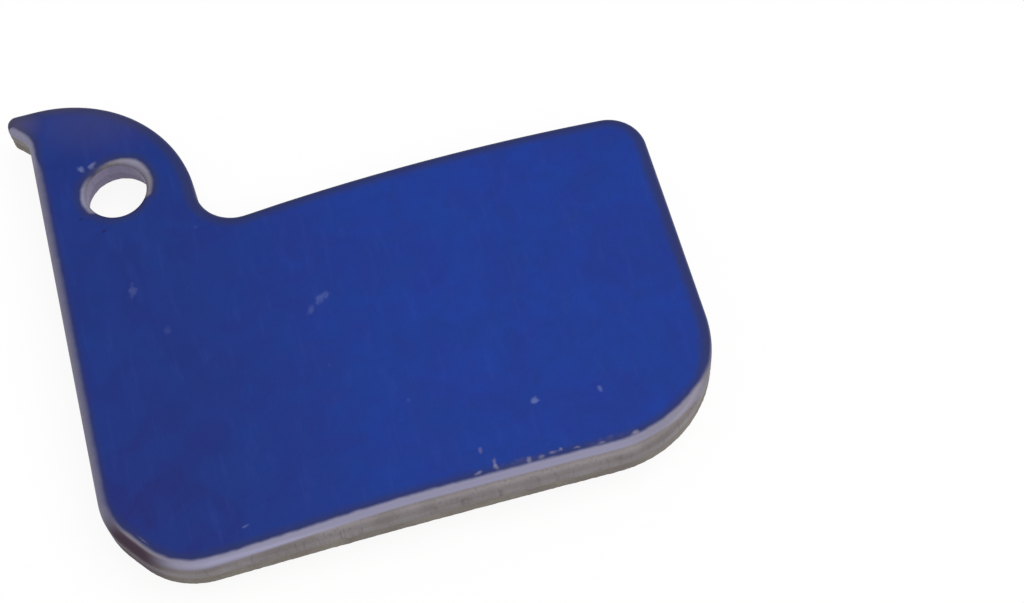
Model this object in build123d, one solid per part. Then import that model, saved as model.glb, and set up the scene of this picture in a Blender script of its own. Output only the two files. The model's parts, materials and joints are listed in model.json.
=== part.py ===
from build123d import *
from math import atan2, pi, tan
import os

# Bicycle disc brake pad: a blanked steel backing plate with a sintered friction block bonded to it.
# Millimetres. The pad lies on its friction face. The origin is the middle of that face, +Z points
# out of the plate's painted back, and +Y points to the fin that hangs on the retaining pin.

# Body of the backing plate
plate_thickness = 1.8
body_width = 30.5  # between the two straight ends
body_height = 18.4  # from the lower edge to the upper corner away from the fin
upper_edge_climb = 0.3  # the upper edge climbs this much from the fin to that corner
upper_edge_crown = 0.55  # the upper edge bows outwards
lower_edge_hollow = 0.15  # the lower edge bows inwards
corner_cut_width = 2.65  # lower corner under the hook, cut off along the lower edge
corner_cut_height = 3.5  # the same corner, cut off up the end
corner_cut_radius = 4.0  # the two bends of the cut
far_corner_radius = 6.2  # lower corner at the other end
upper_corner_radius = 2.0

# Edges that blanking leaves: a roll round the painted back, a small break round the front
back_edge_roll = 0.4
front_edge_break = 0.12

# Fin with its round back
fin_back_radius = 7.1
fin_centre_inset = 0.68  # from the end of the body to the centre of the round back
fin_root_radius = 2.0
fin_neck_straight = 0.115  # between the root's rounding and the round back

# Hook at the tip of the fin
hook_reach = 0.9  # beyond the end of the body
hook_face_radius = 0.1  # what is left of the tip's radius inside the rolled edge
hook_end_radii = 1.5  # the two roundings of the blunt tip take up this many radii
hook_tip_flat = 0.1
hook_underside_drop = 0.95
hook_root_radius = 1.0

# Hole for the retaining pin, which the punch tears wider towards the front
pin_hole_diameter = 3.1
pin_hole_inset = 3.9  # from the end of the body
pin_hole_rise = 1.1  # above the centre of the fin's round back
pin_hole_roll = 0.25
pin_hole_tear_height = 0.8  # from the front of the plate
pin_hole_tear_width = 0.15  # on each side, at the front

# Friction block
block_thickness = 2.0
block_margin = 0.95  # bare plate left round the block
block_edge_break = 0.15

# Places that follow from the sizes above
left = -body_width / 2
right = body_width / 2
lower = -body_height / 2
corner_y = lower + body_height
cut_top = Vector(left, lower + corner_cut_height)
cut_foot = Vector(left + corner_cut_width, lower)
lower_right = Vector(right, lower)
root_y = corner_y - upper_edge_climb
fin_x = left + fin_centre_inset
fin_back_x = fin_x + fin_back_radius
upper_edge_run = right - fin_back_x
upper_edge_slope = atan2(upper_edge_climb, upper_edge_run) + 2 * atan2(2 * upper_edge_crown, upper_edge_run)
fin_root_foot = fin_root_radius * tan(pi / 4 + upper_edge_slope / 2)
fin_y = root_y + fin_root_foot + fin_neck_straight
fin_top = fin_y + fin_back_radius
tip_x = left - hook_reach
hook_tip_radius = back_edge_roll + hook_face_radius
tip_y = fin_top - hook_end_radii * hook_tip_radius - hook_tip_flat
hook_root_y = tip_y - hook_underside_drop
pin_hole_x = left + pin_hole_inset
pin_hole_y = fin_y + pin_hole_rise


def bow(start, end, rise):
    """Shallow arc between two points, bowed by rise to the left of its direction."""
    chord = Line(start, end)
    across = (chord % 0.5).rotate(Axis.Z, 90)
    return ThreePointArc(start, (chord @ 0.5) + across * rise, end)


def lower_edges():
    """Cut corner and hollow lower edge, from left to right."""
    return [
        Line(cut_top, cut_foot),
        bow(cut_foot, lower_right, lower_edge_hollow),
    ]


def rounded(edges, corners):
    """Face inside a closed run of edges, with each given corner rounded to its radius."""
    face = make_face(Wire(edges))
    for point, radius in corners:
        nearest = face.vertices().sort_by_distance(point)[0]
        face = fillet(nearest, radius)
    return face


def lower_corners():
    """The two bends of the cut corner and the far corner, each with its radius."""
    return [
        (cut_top, corner_cut_radius),
        (cut_foot, corner_cut_radius),
        (lower_right, far_corner_radius),
    ]


def plate_outline():
    """Outline of the backing plate: body, fin and hook."""
    upper_right = Vector(right, corner_y)
    fin_root = Vector(fin_back_x, root_y)
    back_start = Vector(fin_back_x, fin_y)
    back_end = Vector(fin_x, fin_top)
    tip_top = Vector(tip_x, fin_top)
    tip_bottom = Vector(tip_x, tip_y)
    hook_root = Vector(left, hook_root_y)
    edges = lower_edges() + [
        Line(lower_right, upper_right),
        bow(fin_root, upper_right, upper_edge_crown),
        Line(fin_root, back_start),
        TangentArc(back_start, back_end, tangent=(0, 1)),
        Line(back_end, tip_top),
        Line(tip_top, tip_bottom),
        Line(tip_bottom, hook_root),
        Line(hook_root, cut_top),
    ]
    corners = lower_corners() + [
        (upper_right, upper_corner_radius),
        (fin_root, fin_root_radius),
        (tip_top, hook_tip_radius),
        (tip_bottom, hook_tip_radius),
        (hook_root, hook_root_radius),
    ]
    return rounded(edges, corners)


def block_outline():
    """Outline of the friction block: the body without its fin, drawn in by the bare margin."""
    upper_right = Vector(right, corner_y)
    upper_left = Vector(left, root_y)
    edges = lower_edges() + [
        Line(lower_right, upper_right),
        bow(upper_left, upper_right, upper_edge_crown),
        Line(upper_left, cut_top),
    ]
    corners = lower_corners() + [(upper_right, upper_corner_radius), (upper_left, upper_corner_radius)]
    return offset(rounded(edges, corners), amount=-block_margin)


def backing_plate():
    """Blanked plate with its rolled back edge, broken front edge and punched pin hole."""
    plate = Pos(0, 0, block_thickness) * extrude(plate_outline(), plate_thickness)
    back_edges = plate.faces().sort_by(Axis.Z)[-1].edges()
    plate = fillet(back_edges, back_edge_roll)
    front_edges = plate.faces().sort_by(Axis.Z)[0].edges()
    plate = chamfer(front_edges, front_edge_break)
    hole = Pos(pin_hole_x, pin_hole_y, block_thickness)
    bore_radius = pin_hole_diameter / 2
    plate = plate - hole * extrude(Circle(bore_radius), plate_thickness)
    tear = Cone(bore_radius + pin_hole_tear_width, bore_radius, pin_hole_tear_height)
    plate = plate - hole * Pos(0, 0, pin_hole_tear_height / 2) * tear
    rims = plate.faces().sort_by(Axis.Z)[-1].edges().filter_by(GeomType.CIRCLE)
    hole_rim = rims.sort_by_distance(hole.position + Vector(0, 0, plate_thickness))[0]
    return fillet(hole_rim, pin_hole_roll)


def friction_block():
    """Sintered block with the sharp edge of its friction face broken."""
    block = extrude(block_outline(), block_thickness)
    return chamfer(block.faces().sort_by(Axis.Z)[0].edges(), block_edge_break)


os.makedirs("parts", exist_ok=True)
export_step(backing_plate(), "parts/backing_plate.step")
export_step(friction_block(), "parts/friction_block.step")
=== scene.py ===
"""Looks of a bicycle disc brake pad: meshes, finishes, floor, light and camera round its solids.

The pad lies on its friction face with its painted back up. Sizes are in millimetres and angles in
degrees unless a name says otherwise. Meshes are written in metres, as the frame is.
"""

import json
import logging
import math
from dataclasses import dataclass
from enum import Enum
from functools import cache
from typing import Iterable, Sequence, Union

import bpy
import numpy as np
from mathutils import Matrix, Vector, noise
from mathutils.geometry import delaunay_2d_cdt
from mathutils.kdtree import KDTree


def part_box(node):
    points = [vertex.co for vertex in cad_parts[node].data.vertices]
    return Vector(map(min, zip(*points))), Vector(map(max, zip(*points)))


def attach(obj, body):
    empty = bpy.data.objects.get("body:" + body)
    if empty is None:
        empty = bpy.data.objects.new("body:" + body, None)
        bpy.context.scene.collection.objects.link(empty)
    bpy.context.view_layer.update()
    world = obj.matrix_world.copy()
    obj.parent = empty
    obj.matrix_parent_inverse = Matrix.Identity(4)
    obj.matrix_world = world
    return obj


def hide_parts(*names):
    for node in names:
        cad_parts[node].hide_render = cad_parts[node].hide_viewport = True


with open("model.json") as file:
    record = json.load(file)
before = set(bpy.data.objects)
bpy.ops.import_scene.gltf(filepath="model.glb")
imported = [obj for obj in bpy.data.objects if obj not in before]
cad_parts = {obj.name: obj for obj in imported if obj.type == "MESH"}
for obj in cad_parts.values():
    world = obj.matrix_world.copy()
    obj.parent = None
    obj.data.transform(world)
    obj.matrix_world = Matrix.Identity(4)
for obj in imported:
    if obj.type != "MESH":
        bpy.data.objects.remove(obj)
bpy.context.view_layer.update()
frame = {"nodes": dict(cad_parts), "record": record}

MM = 0.001  # metres in a millimetre
GRID = 0.001  # two points of a solid that lie nearer than this are one point
SMOOTH = 0.5  # noise that leaves the edge of a mark smooth
BODY = "root"

Socket = bpy.types.NodeSocket
Tree = bpy.types.NodeTree
Colour = tuple[float, float, float, float]
Feed = Union[Socket, float, Sequence[float]]
Span = tuple[float, float]
Table = tuple[tuple[float, float], ...]

log = logging.getLogger("brake_pad")


def mount(name: str) -> dict:
    """Find one of the record's mounts by its name."""
    return next(entry for entry in frame["record"]["mounts"] if entry["name"] == name)


# Outlines and meshes


@dataclass(frozen=True)
class Outline:
    """Closed run of points in the plane of the pad, counter-clockwise."""

    points: np.ndarray

    @classmethod
    def round_flat_face(cls, node: str, height: float) -> list["Outline"]:
        """Find the outlines of a node's flat face.

        Args:
            node: name of the solid's node.
            height: height of the flat face.

        Returns:
            The outlines, the outer one first and then those of the holes in the face.
        """
        mesh = frame["nodes"][node].data
        mesh.calc_loop_triangles()
        places = np.array([vertex.co for vertex in mesh.vertices]) / MM
        keys = [tuple(key) for key in np.round(places / GRID).astype(int)]
        flat = np.abs(places[:, 2] - height) < GRID
        edges: set[tuple] = set()
        for triangle in mesh.loop_triangles:
            if all(flat[corner] for corner in triangle.vertices):
                first, second, third = (keys[corner] for corner in triangle.vertices)
                edges |= {(first, second), (second, third), (third, first)}
        follows = {start: end for start, end in edges if (end, start) not in edges}
        outlines = []
        while follows:
            key, run = min(follows), []
            while key in follows:
                run.append(key)
                key = follows.pop(key)
            outlines.append(cls.counter_clockwise(np.array(run)[:, :2] * GRID))
        return sorted(outlines, key=lambda outline: -outline.area())

    @classmethod
    def counter_clockwise(cls, points: np.ndarray) -> "Outline":
        """Outline through points that run either way round."""
        outline = cls(points)
        return outline if outline.area() > 0 else cls(points[::-1])

    def area(self) -> float:
        """Area inside the outline, positive where it runs counter-clockwise."""
        after = np.roll(self.points, -1, axis=0)
        return float(np.sum(self.points[:, 0] * after[:, 1] - after[:, 0] * self.points[:, 1]) / 2)

    def headings(self) -> np.ndarray:
        """Unit direction of the outline at each of its points."""
        along = np.roll(self.points, -1, axis=0) - np.roll(self.points, 1, axis=0)
        return along / np.linalg.norm(along, axis=1)[:, None]

    def outwards(self) -> np.ndarray:
        """Unit normal that points out of the outline at each of its points."""
        heading = self.headings()
        return np.stack([heading[:, 1], -heading[:, 0]], axis=1)

    def finer(self, step: float) -> "Outline":
        """Put more points on the outline, on smooth curves through the old ones.

        Args:
            step: longest run that is left between two points.

        Returns:
            The outline with its added points.
        """
        start, start_heading = self.points, self.headings()
        end, end_heading = np.roll(start, -1, axis=0), np.roll(start_heading, -1, axis=0)
        pieces = []
        for index, run in enumerate(np.linalg.norm(end - start, axis=1)):
            count = max(1, math.ceil(run / step))
            part = (np.arange(count) / count)[:, None]
            ease = eased(part, 0, 1)
            leave = part * (1 - part) ** 2 * run
            arrive = part * part * (1 - part) * run
            pieces.append(
                start[index] * (1 - ease) + end[index] * ease
                + start_heading[index] * leave - end_heading[index] * arrive
            )
        return Outline(np.concatenate(pieces))

    def moved_out(self, distance: Union[float, np.ndarray]) -> "Outline":
        """Outline whose points are moved outwards by a distance, or by one distance each."""
        return Outline(self.points + self.outwards() * np.reshape(distance, (-1, 1)))

    def holds(self, points: np.ndarray) -> np.ndarray:
        """Test which points lie inside the outline.

        Args:
            points: points to test, one to a row.

        Returns:
            True for each point that lies inside.
        """
        inside = np.zeros(len(points), bool)
        x, y = points[:, 0], points[:, 1]
        for (x0, y0), (x1, y1) in zip(self.points, np.roll(self.points, -1, axis=0)):
            if y0 == y1:
                continue
            spans = (y0 > y) != (y1 > y)
            inside ^= spans & (x < x0 + (y - y0) * (x1 - x0) / (y1 - y0))
        return inside

    def scattered(self, spacing: float, holes: Sequence["Outline"] = ()) -> np.ndarray:
        """Fill the outline with an even triangular pattern of points, a little clear of its edges.

        Args:
            spacing: distance between neighbours.
            holes: outlines inside this one that stay empty.

        Returns:
            The points, one to a row.
        """
        clear = spacing * 0.7
        low, high = self.points.min(axis=0), self.points.max(axis=0)
        row_height = spacing * math.sqrt(3) / 2
        rows = np.arange(low[1], high[1], row_height)
        columns = np.arange(low[0], high[0], spacing)
        x, y = np.meshgrid(columns, rows)
        x = x + np.where(np.arange(len(rows)) % 2, spacing / 2, 0)[:, None]
        points = np.stack([x.ravel(), y.ravel()], axis=1)
        keep = self.moved_out(-clear).holds(points)
        for hole in holes:
            keep &= ~hole.moved_out(clear).holds(points)
        return points[keep]


def at_height(points: np.ndarray, height: float) -> np.ndarray:
    """Places in space of flat points that all lie at one height."""
    return np.column_stack([points, np.full(len(points), height)])


def eased(values: np.ndarray, start: float, end: float) -> np.ndarray:
    """Rise smoothly from 0 at start to 1 at end, which may be the lower one."""
    part = np.clip((values - start) / (end - start), 0, 1)
    return part * part * (3 - 2 * part)


def roughness(places: np.ndarray, size: float) -> np.ndarray:
    """Give a smooth random height at each place.

    Args:
        places: places in space, one to a row.
        size: width of the largest bumps.

    Returns:
        Heights from about -1 to 1.
    """
    falloff, finer, layers = 1.0, 2.0, 3
    return np.array([noise.fractal(Vector(place / size), falloff, finer, layers) for place in places])


def uneven(places: np.ndarray, size: float, middle: float = 0.5) -> np.ndarray:
    """Smooth random share at each place, about a middle one, up to about 1."""
    return middle + (1 - middle) * roughness(places, size)


class Skin:
    """Mesh under construction, made of rings of points, bands between them and filled faces."""

    def __init__(self) -> None:
        """Start with no points and no faces."""
        self.places: list[np.ndarray] = []
        self.faces: list[tuple[int, ...]] = []
        self.slots: list[int] = []

    def add(self, places: np.ndarray) -> list[int]:
        """Add points, one to a row.

        Args:
            places: the points.

        Returns:
            Their numbers.
        """
        first = len(self.places)
        self.places.extend(places)
        return list(range(first, len(self.places)))

    def ring(self, outline: Outline, heights: Union[float, np.ndarray]) -> list[int]:
        """Add an outline's points at a height, or at one height each, and return their numbers."""
        column = np.broadcast_to(heights, len(outline.points))
        return self.add(np.column_stack([outline.points, column]))

    def band(self, upper: list[int], lower: list[int], slot: int, round_hole: bool = False) -> None:
        """Join two rings by a band of faces.

        Args:
            upper: numbers of the upper ring's points.
            lower: numbers of the lower ring's points.
            slot: material slot of the band.
            round_hole: True where the band faces into a hole.
        """
        for index in range(len(upper)):
            after = (index + 1) % len(upper)
            face = (upper[index], lower[index], lower[after], upper[after])
            self.faces.append(face[::-1] if round_hole else face)
            self.slots.append(slot)

    def fill(self, rings: Sequence[list[int]], inner: np.ndarray, slot: int, face_up: bool) -> None:
        """Fill a flat or nearly flat face with triangles.

        Args:
            rings: numbers of the points round the face, the outer ring first and then its holes.
            inner: further points inside the face, one to a row.
            slot: material slot of the face.
            face_up: True where the face looks up.
        """
        triangles_inside, tolerance = 1, 1e-7
        numbers = [number for ring in rings for number in ring] + self.add(inner)
        flat = [Vector(self.places[number][:2]) for number in numbers]
        edges, first = [], 0
        for ring in rings:
            last = first + len(ring) - 1
            edges += [(index, index + 1) for index in range(first, last)] + [(last, first)]
            first = last + 1
        found = delaunay_2d_cdt(flat, edges, [], triangles_inside, tolerance)
        corners, triangles, origins = np.array(found[0]), found[2], found[3]
        middles = np.array([corners[list(triangle)].mean(axis=0) for triangle in triangles])
        ring_outlines = [Outline(np.array([self.places[n][:2] for n in ring])) for ring in rings]
        keep = ring_outlines[0].holds(middles)
        for hole in ring_outlines[1:]:
            keep &= ~hole.holds(middles)
        for triangle, wanted in zip(triangles, keep):
            if wanted:
                face = tuple(numbers[origins[corner][0]] for corner in triangle)
                self.faces.append(face if face_up else face[::-1])
                self.slots.append(slot)

    def made(self, name: str, sharp_angle: float) -> bpy.types.Object:
        """Make the object.

        Args:
            name: the piece's name.
            sharp_angle: angle between two faces above which their edge stays sharp.

        Returns:
            The object, in the scene and at the origin.
        """
        mesh = bpy.data.meshes.new(name)
        mesh.from_pydata((np.array(self.places) * MM).tolist(), [], self.faces)
        mesh.polygons.foreach_set("material_index", self.slots)
        mesh.validate()
        mesh.shade_smooth()
        mesh.set_sharp_from_angle(angle=math.radians(sharp_angle))
        piece = bpy.data.objects.new(name, mesh)
        bpy.context.scene.collection.objects.link(piece)
        return piece


# Shader nodes


class Kind(Enum):
    """What a node group's socket carries."""

    VALUE = "NodeSocketFloat"
    VECTOR = "NodeSocketVector"
    COLOUR = "NodeSocketColor"


class Blend(Enum):
    """What a Mix node blends: its data type, the numbers of its two inputs and of its output."""

    NUMBERS = ("FLOAT", 2, 3, 0)
    COLOURS = ("RGBA", 6, 7, 2)


class Layer(Enum):
    """Numbers that the plate's mesh keeps at its points, for its finishes to read.

    INSET is how far inside the edge of the flat back a point lies, less than 0 on the rolled edge.
    PAINT_END is the inset at which the paint ends along the edge nearest to the point.
    SHINE is how bright the bare steel is along that edge, from 0 to 1: rubbed steel with a painted
    highlight by the way the edge faces.
    """

    INSET = "inset"
    PAINT_END = "paint_end"
    SHINE = "shine"


def srgb(red: int, green: int, blue: int) -> Colour:
    """Turn a screen colour, 0 to 255, into the linear colour that shaders take."""
    def linear(level: int) -> float:
        """Linear light of one screen level."""
        share = level / 255
        return share / 12.92 if share <= 0.04045 else ((share + 0.055) / 1.055) ** 2.4

    return (linear(red), linear(green), linear(blue), 1.0)


class Nodes:
    """Short ways to add and join the nodes of one shader tree."""

    def __init__(self, tree: Tree) -> None:
        """Work on a tree."""
        self.tree = tree

    def add(self, kind: str, **settings: object) -> bpy.types.Node:
        """Add a node.

        Args:
            kind: the node's type, without its prefix.
            settings: values of its properties, by their names.

        Returns:
            The node.
        """
        node = self.tree.nodes.new("ShaderNode" + kind)
        for name, value in settings.items():
            setattr(node, name, value)
        return node

    def give(self, socket: Socket, value: Feed) -> None:
        """Link a socket to another one, or set its own value.

        Args:
            socket: an input.
            value: an output to link it to, or its value.
        """
        if isinstance(value, Socket):
            self.tree.links.new(value, socket)
        else:
            socket.default_value = value

    def feed(self, sockets: Iterable[Socket], values: Sequence[Feed]) -> None:
        """Give each socket of a row its value."""
        for socket, value in zip(sockets, values):
            self.give(socket, value)

    def maths(self, operation: str, *values: Feed) -> Socket:
        """Calculate with numbers.

        Args:
            operation: what a Math node does.
            values: the numbers.

        Returns:
            The result.
        """
        node = self.add("Math", operation=operation)
        self.feed(node.inputs, values)
        return node.outputs[0]

    def vector(self, operation: str, *values: Feed) -> Socket:
        """Calculate with vectors.

        Args:
            operation: what a Vector Math node does.
            values: the vectors.

        Returns:
            The vector that results.
        """
        node = self.add("VectorMath", operation=operation)
        self.feed(node.inputs, values)
        return node.outputs["Vector"]

    def scaled(self, vector: Feed, factor: Feed) -> Socket:
        """Multiply a vector by a number.

        Args:
            vector: the vector.
            factor: the number.

        Returns:
            The longer or shorter vector.
        """
        node = self.add("VectorMath", operation="SCALE")
        self.feed((node.inputs["Vector"], node.inputs["Scale"]), (vector, factor))
        return node.outputs["Vector"]

    def shrunk(self, vector: Feed, size: Feed) -> Socket:
        """Vector divided by a size, so that a pattern of unit width gets that size."""
        return self.scaled(vector, self.maths("DIVIDE", 1.0, size))

    def part(self, vector: Feed, axis: str) -> Socket:
        """Take one coordinate out of a vector.

        Args:
            vector: the vector.
            axis: X, Y or Z.

        Returns:
            The coordinate.
        """
        node = self.add("SeparateXYZ")
        self.give(node.inputs[0], vector)
        return node.outputs[axis]

    def blended(self, blend: Blend, factor: Feed, first: Feed, second: Feed) -> Socket:
        """Blend two things of one sort.

        Args:
            blend: their sort.
            factor: 0 for the first one and 1 for the second.
            first: the first one.
            second: the second one.

        Returns:
            What lies between them.
        """
        data_type, first_input, second_input, output = blend.value
        node = self.add("Mix", data_type=data_type, clamp_factor=True)
        inputs = (node.inputs[number] for number in (0, first_input, second_input))
        self.feed(inputs, (factor, first, second))
        return node.outputs[output]

    def mix(self, factor: Feed, first: Feed, second: Feed) -> Socket:
        """Colour between two colours."""
        return self.blended(Blend.COLOURS, factor, first, second)

    def between(self, factor: Feed, first: Feed, second: Feed) -> Socket:
        """Number between two numbers."""
        return self.blended(Blend.NUMBERS, factor, first, second)

    def laid(self, under: Feed, over: Feed, mask: Feed, amount: float) -> Socket:
        """Colour with another one laid over it, by an amount where a mask is 1."""
        return self.mix(self.maths("MULTIPLY", mask, amount), under, over)

    def ease(self, value: Feed, start: Feed, end: Feed) -> Socket:
        """Rise smoothly from 0 to 1.

        Args:
            value: the number to go by.
            start: where the rise begins.
            end: where it is done.

        Returns:
            A number from 0 to 1.
        """
        node = self.add("MapRange", interpolation_type="SMOOTHSTEP")
        self.feed(node.inputs, (value, start, end))
        return node.outputs[0]

    def clouds(self, place: Feed, detail: float = 4.0, warp: float = 0.0) -> Socket:
        """Make a noise of unit size.

        Args:
            place: where to read it.
            detail: how many finer layers it has.
            warp: how far it is twisted.

        Returns:
            A number, about 0.5 on average.
        """
        node = self.add("TexNoise")
        self.give(node.inputs["Vector"], place)
        for name, value in (("Scale", 1.0), ("Detail", detail), ("Distortion", warp)):
            node.inputs[name].default_value = value
        return node.outputs[0]

    def cells(self, place: Feed) -> bpy.types.Node:
        """Make Voronoi cells of unit size.

        Args:
            place: where to read them.

        Returns:
            Their node.
        """
        node = self.add("TexVoronoi")
        self.give(node.inputs["Vector"], place)
        node.inputs["Scale"].default_value = 1.0
        return node

    def ramp(self, value: Feed, stops: Sequence[tuple[float, Colour]]) -> Socket:
        """Read a colour off a row of stops.

        Args:
            value: where on the row to read, from 0 to 1.
            stops: the position and colour of each stop.

        Returns:
            The colour.
        """
        node = self.add("ValToRGB")
        elements = node.color_ramp.elements
        while len(elements) < len(stops):
            elements.new(1.0)
        for element, (position, colour) in zip(elements, stops):
            element.position, element.color = position, colour
        self.give(node.inputs[0], value)
        return node.outputs[0]

    def use(self, group: Tree, **inputs: Feed) -> bpy.types.Node:
        """Place a node group.

        Args:
            group: the group.
            inputs: what its inputs are fed, by their names.

        Returns:
            The group's node.
        """
        node = self.add("Group", node_tree=group)
        for name, value in inputs.items():
            self.give(node.inputs[name], value)
        return node

    def place_in_mm(self) -> Socket:
        """Place on the piece, in millimetres of its own frame."""
        return self.scaled(self.add("TexCoord").outputs["Object"], 1 / MM)

    def stored(self, layer: Layer) -> Socket:
        """Number that the mesh keeps at each of its points."""
        return self.add("Attribute", attribute_name=layer.value).outputs["Fac"]


class Effect:
    """Node group under construction, with named inputs and outputs."""

    def __init__(self, name: str, inputs: dict[str, Kind], outputs: dict[str, Kind]) -> None:
        """Make the group and its sockets.

        Args:
            name: the group's name.
            inputs: each input's name and kind.
            outputs: each output's name and kind.
        """
        self.tree = bpy.data.node_groups.new(name, "ShaderNodeTree")
        for side, sockets in (("INPUT", inputs), ("OUTPUT", outputs)):
            for socket, kind in sockets.items():
                self.tree.interface.new_socket(name=socket, in_out=side, socket_type=kind.value)
        self.nodes = Nodes(self.tree)
        self.given = self.tree.nodes.new("NodeGroupInput").outputs
        self.result = self.tree.nodes.new("NodeGroupOutput").inputs

    def put_out(self, **outputs: Feed) -> Tree:
        """Feed the group's outputs.

        Args:
            outputs: what each output is fed, by its name.

        Returns:
            The finished group.
        """
        for name, value in outputs.items():
            self.nodes.give(self.result[name], value)
        return self.tree


@cache
def mottling() -> Tree:
    """Build the group that spreads a second colour over a first one in soft clouds.

    Returns:
        The group.
    """
    cloud_starts, cloud_full = 0.36, 0.64
    inputs = {"Place": Kind.VECTOR, "Size": Kind.VALUE, "Amount": Kind.VALUE}
    inputs |= {"First": Kind.COLOUR, "Second": Kind.COLOUR}
    effect = Effect("Mottling", inputs, {"Color": Kind.COLOUR})
    nodes, given = effect.nodes, effect.given
    clouds = nodes.clouds(nodes.shrunk(given["Place"], given["Size"]), warp=0.6)
    mask = nodes.maths("MULTIPLY", nodes.ease(clouds, cloud_starts, cloud_full), given["Amount"])
    return effect.put_out(Color=nodes.mix(mask, given["First"], given["Second"]))


@cache
def grain() -> Tree:
    """Build the group that gives the height of a fine, even grain.

    Returns:
        The group.
    """
    effect = Effect("Grain", {"Place": Kind.VECTOR, "Size": Kind.VALUE}, {"Height": Kind.VALUE})
    nodes, given = effect.nodes, effect.given
    place = nodes.shrunk(given["Place"], given["Size"])
    return effect.put_out(Height=nodes.clouds(place, detail=2.0))


@cache
def streaks() -> Tree:
    """Build the group that gives fine lines along one axis, drawn out by Stretch.

    Returns:
        The group.
    """
    inputs = {"Place": Kind.VECTOR, "Size": Kind.VALUE, "Stretch": Kind.VECTOR}
    effect = Effect("Streaks", inputs, {"Mask": Kind.VALUE})
    nodes, given = effect.nodes, effect.given
    drawn = nodes.vector("DIVIDE", nodes.shrunk(given["Place"], given["Size"]), given["Stretch"])
    return effect.put_out(Mask=nodes.clouds(drawn))


@cache
def specks() -> Tree:
    """Build the group that strews small round specks, one in some of the cells of a given spacing.

    Returns:
        The group.
    """
    full_share = 0.6  # of a speck's radius
    inputs = {"Place": Kind.VECTOR, "Spacing": Kind.VALUE, "Radius": Kind.VALUE, "Share": Kind.VALUE}
    effect = Effect("Specks", inputs, {"Mask": Kind.VALUE})
    nodes, given = effect.nodes, effect.given
    cells = nodes.cells(nodes.shrunk(given["Place"], given["Spacing"]))
    chance, size = (nodes.part(cells.outputs["Color"], axis) for axis in "XY")
    radius = nodes.maths("MULTIPLY", nodes.maths("DIVIDE", given["Radius"], given["Spacing"]), size)
    full = nodes.maths("MULTIPLY", radius, full_share)
    inside = nodes.ease(cells.outputs["Distance"], radius, full)
    chosen = nodes.maths("LESS_THAN", chance, given["Share"])
    return effect.put_out(Mask=nodes.maths("MULTIPLY", inside, chosen))


@cache
def border() -> Tree:
    """Build the group that ends a layer along a ragged line: 1 where a value is over a level.

    Returns:
        The group.
    """
    inputs = {"Place": Kind.VECTOR, "Size": Kind.VALUE, "Ragged": Kind.VALUE}
    inputs |= {"Value": Kind.VALUE, "Level": Kind.VALUE, "Blur": Kind.VALUE}
    effect = Effect("Border", inputs, {"Mask": Kind.VALUE})
    nodes, given = effect.nodes, effect.given
    clouds = nodes.clouds(nodes.shrunk(given["Place"], given["Size"]))
    swing = nodes.maths("MULTIPLY", nodes.maths("SUBTRACT", clouds, 0.5), given["Ragged"])
    start = nodes.maths("SUBTRACT", given["Level"], given["Blur"])
    end = nodes.maths("ADD", given["Level"], given["Blur"])
    return effect.put_out(Mask=nodes.ease(nodes.maths("ADD", given["Value"], swing), start, end))


@cache
def blot() -> Tree:
    """Build the group that makes one oval blot at a place, turned from +X, whose edge a noise frays.

    Returns:
        The group.
    """
    fray_reach = 2.0  # how far a noise moves the rim, in half widths
    inputs = {"Place": Kind.VECTOR, "Centre": Kind.VECTOR, "Turn": Kind.VALUE, "Fray": Kind.VALUE}
    inputs |= {"Length": Kind.VALUE, "Width": Kind.VALUE, "Softness": Kind.VALUE}
    effect = Effect("Blot", inputs, {"Mask": Kind.VALUE})
    nodes, given = effect.nodes, effect.given
    turn = nodes.add("VectorRotate", rotation_type="Z_AXIS", invert=True)
    nodes.give(turn.inputs["Vector"], nodes.vector("SUBTRACT", given["Place"], given["Centre"]))
    nodes.give(turn.inputs["Angle"], given["Turn"])
    along = nodes.maths("DIVIDE", nodes.part(turn.outputs[0], "X"), given["Length"])
    across = nodes.maths("DIVIDE", nodes.part(turn.outputs[0], "Y"), given["Width"])
    squares = nodes.maths("ADD", nodes.maths("POWER", along, 2.0), nodes.maths("POWER", across, 2.0))
    # Twice the root, so that the distance is 1 at the rim of the given length and width
    distance = nodes.maths("SQRT", nodes.maths("MULTIPLY", squares, 4.0))
    fray = nodes.maths("MULTIPLY", nodes.maths("SUBTRACT", given["Fray"], SMOOTH), fray_reach)
    inner = nodes.maths("SUBTRACT", 1.0, given["Softness"])
    return effect.put_out(Mask=nodes.ease(nodes.maths("ADD", distance, fray), 1.0, inner))


# Finishes


@dataclass(frozen=True)
class Mark:
    """Scuff, chip, stain, patch of painted shade or painted reflection, or other oval mark on the plate.

    Attributes:
        x: place of its middle.
        y: place of its middle.
        length: its whole length.
        width: its whole width.
        turn: angle of its length from +X.
        strength: how much it covers in its middle, from 0 to 1.
        softness: share of it over which it fades out.
    """

    x: float
    y: float
    length: float
    width: float
    turn: float
    strength: float
    softness: float = 0.5


@dataclass(frozen=True)
class Clouds:
    """Clouds of another colour on a finish.

    Attributes:
        colour: their colour.
        size: their width.
        amount: how much they cover, from 0 to 1.
        shift: how far their pattern is moved, so that two of them differ.
    """

    colour: Colour
    size: float
    amount: float
    shift: tuple[float, float, float] = (0.0, 0.0, 0.0)


def clouded(nodes: Nodes, place: Socket, colour: Feed, *layers: Clouds) -> Feed:
    """Lay clouds of other colours over a colour.

    Args:
        nodes: nodes of the material or group.
        place: place on the piece.
        colour: the colour to start from.
        layers: the clouds, the lowest first.

    Returns:
        The clouded colour.
    """
    for clouds in layers:
        laid = nodes.use(
            mottling(), Place=nodes.vector("ADD", place, clouds.shift),
            Size=clouds.size, Amount=clouds.amount, First=colour, Second=clouds.colour,
        )
        colour = laid.outputs["Color"]
    return colour


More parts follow.
